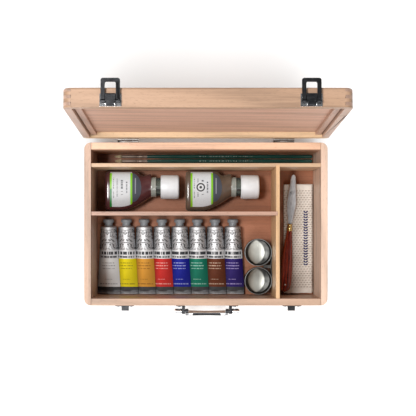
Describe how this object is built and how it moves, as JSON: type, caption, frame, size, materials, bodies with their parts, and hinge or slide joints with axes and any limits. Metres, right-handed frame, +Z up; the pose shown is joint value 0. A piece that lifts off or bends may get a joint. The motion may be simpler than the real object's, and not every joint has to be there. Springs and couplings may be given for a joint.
{
  "type": "art supply box",
  "caption": "Wooden case with hinged lid, draw latches, drop handle and divided bays holding paint tubes, bottles, brushes, knife, dipper and cloth.",
  "frame": {"origin": "middle of the underside of the base", "axes": "+X to the right, +Y to the back where the hinges are, +Z up"},
  "size_m": [0.33, 0.294, 0.325],
  "materials": {
    "beech": "clear satin lacquer over beech",
    "plywood": "thin plywood, clear satin lacquer",
    "bright_steel": "nickel-plated steel",
    "dark_steel": "dark nickel-plated steel",
    "tube_white": "printed aluminium",
    "tube_yellow": "printed aluminium",
    "tube_orange": "printed aluminium",
    "tube_red": "printed aluminium",
    "tube_blue": "printed aluminium",
    "tube_green": "printed aluminium",
    "tube_brown": "printed aluminium",
    "tube_violet": "printed aluminium",
    "tube_cap_plastic": "moulded grey plastic",
    "brown_bottle": "clear bottle with a dark brown liquid",
    "grey_bottle": "clear bottle with a thin clear liquid",
    "white_plastic": "moulded white plastic",
    "label_paper": "coated paper label",
    "brush_lacquer": "dark green gloss lacquer",
    "brush_ferrule": "nickel-plated brass",
    "bristle": "natural bristle",
    "blade_steel": "satin ground steel",
    "brass": "polished brass",
    "stained_wood": "red-brown stained hardwood, varnished",
    "dipper_steel": "spun tin-plated steel",
    "waffle_cotton": "undyed cotton waffle weave"
  },
  "bodies": {
    "base": {"base_front_wall": "beech", "base_back_wall": "beech", "base_left_wall": "beech", "base_right_wall": "beech", "base_floor": "plywood", "brush_divider": "beech", "cross_divider": "beech", "short_divider": "beech", "latch_keepers": "bright_steel", "handle_brackets": "dark_steel", "handle_pins": "bright_steel", "hinge_base_leaves": "dark_steel", "hinge_pins": "bright_steel", "base_screws": "bright_steel"},
    "lid": {"lid_front_rail": "beech", "lid_back_rail": "beech", "lid_left_rail": "beech", "lid_right_rail": "beech", "lid_panel": "plywood", "lid_inner_board": "plywood", "lid_strips": "beech", "lid_screws": "bright_steel", "hinge_lid_leaves": "dark_steel", "latch_plates": "bright_steel", "latch_pins": "bright_steel"},
    "left_latch_lever": {"left_latch_lever": "dark_steel"},
    "right_latch_lever": {"right_latch_lever": "dark_steel"},
    "left_latch_loop": {"left_latch_loop": "dark_steel"},
    "right_latch_loop": {"right_latch_loop": "dark_steel"},
    "lid_retaining_pin": {"lid_retaining_pin": "bright_steel"},
    "handle_grip": {"handle_grip": "bright_steel"},
    "tube_1": {"tube_1": "tube_white"},
    "tube_cap_1": {"tube_cap_1": "tube_cap_plastic"},
    "tube_2": {"tube_2": "tube_yellow"},
    "tube_cap_2": {"tube_cap_2": "tube_cap_plastic"},
    "tube_3": {"tube_3": "tube_orange"},
    "tube_cap_3": {"tube_cap_3": "tube_cap_plastic"},
    "tube_4": {"tube_4": "tube_red"},
    "tube_cap_4": {"tube_cap_4": "tube_cap_plastic"},
    "tube_5": {"tube_5": "tube_blue"},
    "tube_cap_5": {"tube_cap_5": "tube_cap_plastic"},
    "tube_6": {"tube_6": "tube_green"},
    "tube_cap_6": {"tube_cap_6": "tube_cap_plastic"},
    "tube_7": {"tube_7": "tube_brown"},
    "tube_cap_7": {"tube_cap_7": "tube_cap_plastic"},
    "tube_8": {"tube_8": "tube_violet"},
    "tube_cap_8": {"tube_cap_8": "tube_cap_plastic"},
    "left_bottle": {"left_bottle": "brown_bottle"},
    "left_bottle_cap": {"left_bottle_cap": "white_plastic"},
    "right_bottle": {"right_bottle": "grey_bottle"},
    "right_bottle_cap": {"right_bottle_cap": "white_plastic"},
    "double_dipper": {"double_dipper": "dipper_steel"},
    "cloth": {"cloth": "waffle_cotton"},
    "back_brush": {"back_brush_handle": "brush_lacquer", "back_brush_head": "brush_ferrule"},
    "front_brush": {"front_brush_handle": "brush_lacquer", "front_brush_head": "brush_ferrule"},
    "knife": {"knife_blade": "blade_steel", "knife_ferrule": "brass", "knife_handle": "stained_wood"}
  },
  "joints": [
    {"name": "lid_hinge", "type": "hinge", "parent": "base", "child": "lid", "pos_m": [0, 0.115, 0.094], "axis": [-1, 0, 0], "range_deg": [-94, 0]},
    {"name": "left_latch_lever_pivot", "type": "hinge", "parent": "lid", "child": "left_latch_lever", "pos_m": [-0.1104, 0.1344, 0.3227], "axis": [-1, 0, 0], "range_deg": [-150, 0]},
    {"name": "left_latch_loop_swing", "type": "hinge", "parent": "left_latch_lever", "child": "left_latch_loop", "pos_m": [-0.1104, 0.13759, 0.32248], "axis": [1, 0, 0], "range_deg": [0, 180]},
    {"name": "right_latch_lever_pivot", "type": "hinge", "parent": "lid", "child": "right_latch_lever", "pos_m": [0.117, 0.1344, 0.3227], "axis": [-1, 0, 0], "range_deg": [-150, 0]},
    {"name": "right_latch_loop_swing", "type": "hinge", "parent": "right_latch_lever", "child": "right_latch_loop", "pos_m": [0.117, 0.13759, 0.32248], "axis": [1, 0, 0], "range_deg": [0, 180]},
    {"name": "handle_swing", "type": "hinge", "parent": "base", "child": "handle_grip", "pos_m": [0.0019, -0.1207, 0.059], "axis": [-1, 0, 0], "range_deg": [0, 90]},
    {"name": "retaining_pin_slide", "type": "slide", "parent": "lid", "child": "lid_retaining_pin", "axis": [-1, 0, 0], "range_m": [0, 0.005]},
    {"name": "tube_8_lift", "type": "slide", "parent": "base", "child": "tube_8", "axis": [0, 0, 1], "range_m": [0, 0.11]},
    {"name": "tube_7_lift", "type": "slide", "parent": "tube_8", "child": "tube_7", "axis": [0, 0, 1], "range_m": [0, 0.03]},
    {"name": "tube_6_lift", "type": "slide", "parent": "tube_7", "child": "tube_6", "axis": [0, 0, 1], "range_m": [0, 0.03]},
    {"name": "tube_5_lift", "type": "slide", "parent": "tube_6", "child": "tube_5", "axis": [0, 0, 1], "range_m": [0, 0.03]},
    {"name": "tube_4_lift", "type": "slide", "parent": "tube_5", "child": "tube_4", "axis": [0, 0, 1], "range_m": [0, 0.03]},
    {"name": "tube_3_lift", "type": "slide", "parent": "tube_4", "child": "tube_3", "axis": [0, 0, 1], "range_m": [0, 0.03]},
    {"name": "tube_2_lift", "type": "slide", "parent": "tube_3", "child": "tube_2", "axis": [0, 0, 1], "range_m": [0, 0.03]},
    {"name": "tube_1_lift", "type": "slide", "parent": "tube_2", "child": "tube_1", "axis": [0, 0, 1], "range_m": [0, 0.11]},
    {"name": "tube_cap_1_turn", "type": "hinge", "parent": "tube_1", "child": "tube_cap_1", "pos_m": [-0.1385, 0.00238, 0.01611], "axis": [0, 0.9964, 0.0845], "continuous": true},
    {"name": "tube_cap_2_turn", "type": "hinge", "parent": "tube_2", "child": "tube_cap_2", "pos_m": [-0.1131, 0.00238, 0.01611], "axis": [0, 0.9964, 0.0845], "continuous": true},
    {"name": "tube_cap_3_turn", "type": "hinge", "parent": "tube_3", "child": "tube_cap_3", "pos_m": [-0.0877, 0.00238, 0.01611], "axis": [0, 0.9964, 0.0845], "continuous": true},
    {"name": "tube_cap_4_turn", "type": "hinge", "parent": "tube_4", "child": "tube_cap_4", "pos_m": [-0.0623, 0.00238, 0.01611], "axis": [0, 0.9964, 0.0845], "continuous": true},
    {"name": "tube_cap_5_turn", "type": "hinge", "parent": "tube_5", "child": "tube_cap_5", "pos_m": [-0.0369, 0.00238, 0.01611], "axis": [0, 0.9964, 0.0845], "continuous": true},
    {"name": "tube_cap_6_turn", "type": "hinge", "parent": "tube_6", "child": "tube_cap_6", "pos_m": [-0.0115, 0.00238, 0.01611], "axis": [0, 0.9964, 0.0845], "continuous": true},
    {"name": "tube_cap_7_turn", "type": "hinge", "parent": "tube_7", "child": "tube_cap_7", "pos_m": [0.0139, 0.00238, 0.01611], "axis": [0, 0.9964, 0.0845], "continuous": true},
    {"name": "tube_cap_8_turn", "type": "hinge", "parent": "tube_8", "child": "tube_cap_8", "pos_m": [0.0393, 0.00238, 0.01611], "axis": [0, 0.9964, 0.0845], "continuous": true},
    {"name": "left_bottle_lift", "type": "slide", "parent": "base", "child": "left_bottle", "axis": [0, 0, 1], "range_m": [0, 0.11]},
    {"name": "left_bottle_cap_turn", "type": "hinge", "parent": "left_bottle", "child": "left_bottle_cap", "pos_m": [-0.0519, 0.053, 0.02325], "axis": [1, 0, 0], "continuous": true},
    {"name": "right_bottle_lift", "type": "slide", "parent": "base", "child": "right_bottle", "axis": [0, 0, 1], "range_m": [0, 0.11]},
    {"name": "right_bottle_cap_turn", "type": "hinge", "parent": "right_bottle", "child": "right_bottle_cap", "pos_m": [0.0618, 0.053, 0.02325], "axis": [1, 0, 0], "continuous": true},
    {"name": "back_brush_lift", "type": "slide", "parent": "base", "child": "back_brush", "axis": [0, 0, 1], "range_m": [0, 0.11]},
    {"name": "front_brush_lift", "type": "slide", "parent": "base", "child": "front_brush", "axis": [0, 0, 1], "range_m": [0, 0.11]},
    {"name": "double_dipper_lift", "type": "slide", "parent": "base", "child": "double_dipper", "axis": [0, 0, 1], "range_m": [0, 0.11]},
    {"name": "cloth_lift", "type": "slide", "parent": "base", "child": "cloth", "axis": [0, 0, 1], "range_m": [0, 0.11]},
    {"name": "knife_lift", "type": "slide", "parent": "cloth", "child": "knife", "axis": [0, 0, 1], "range_m": [0, 0.06]}
  ]
}
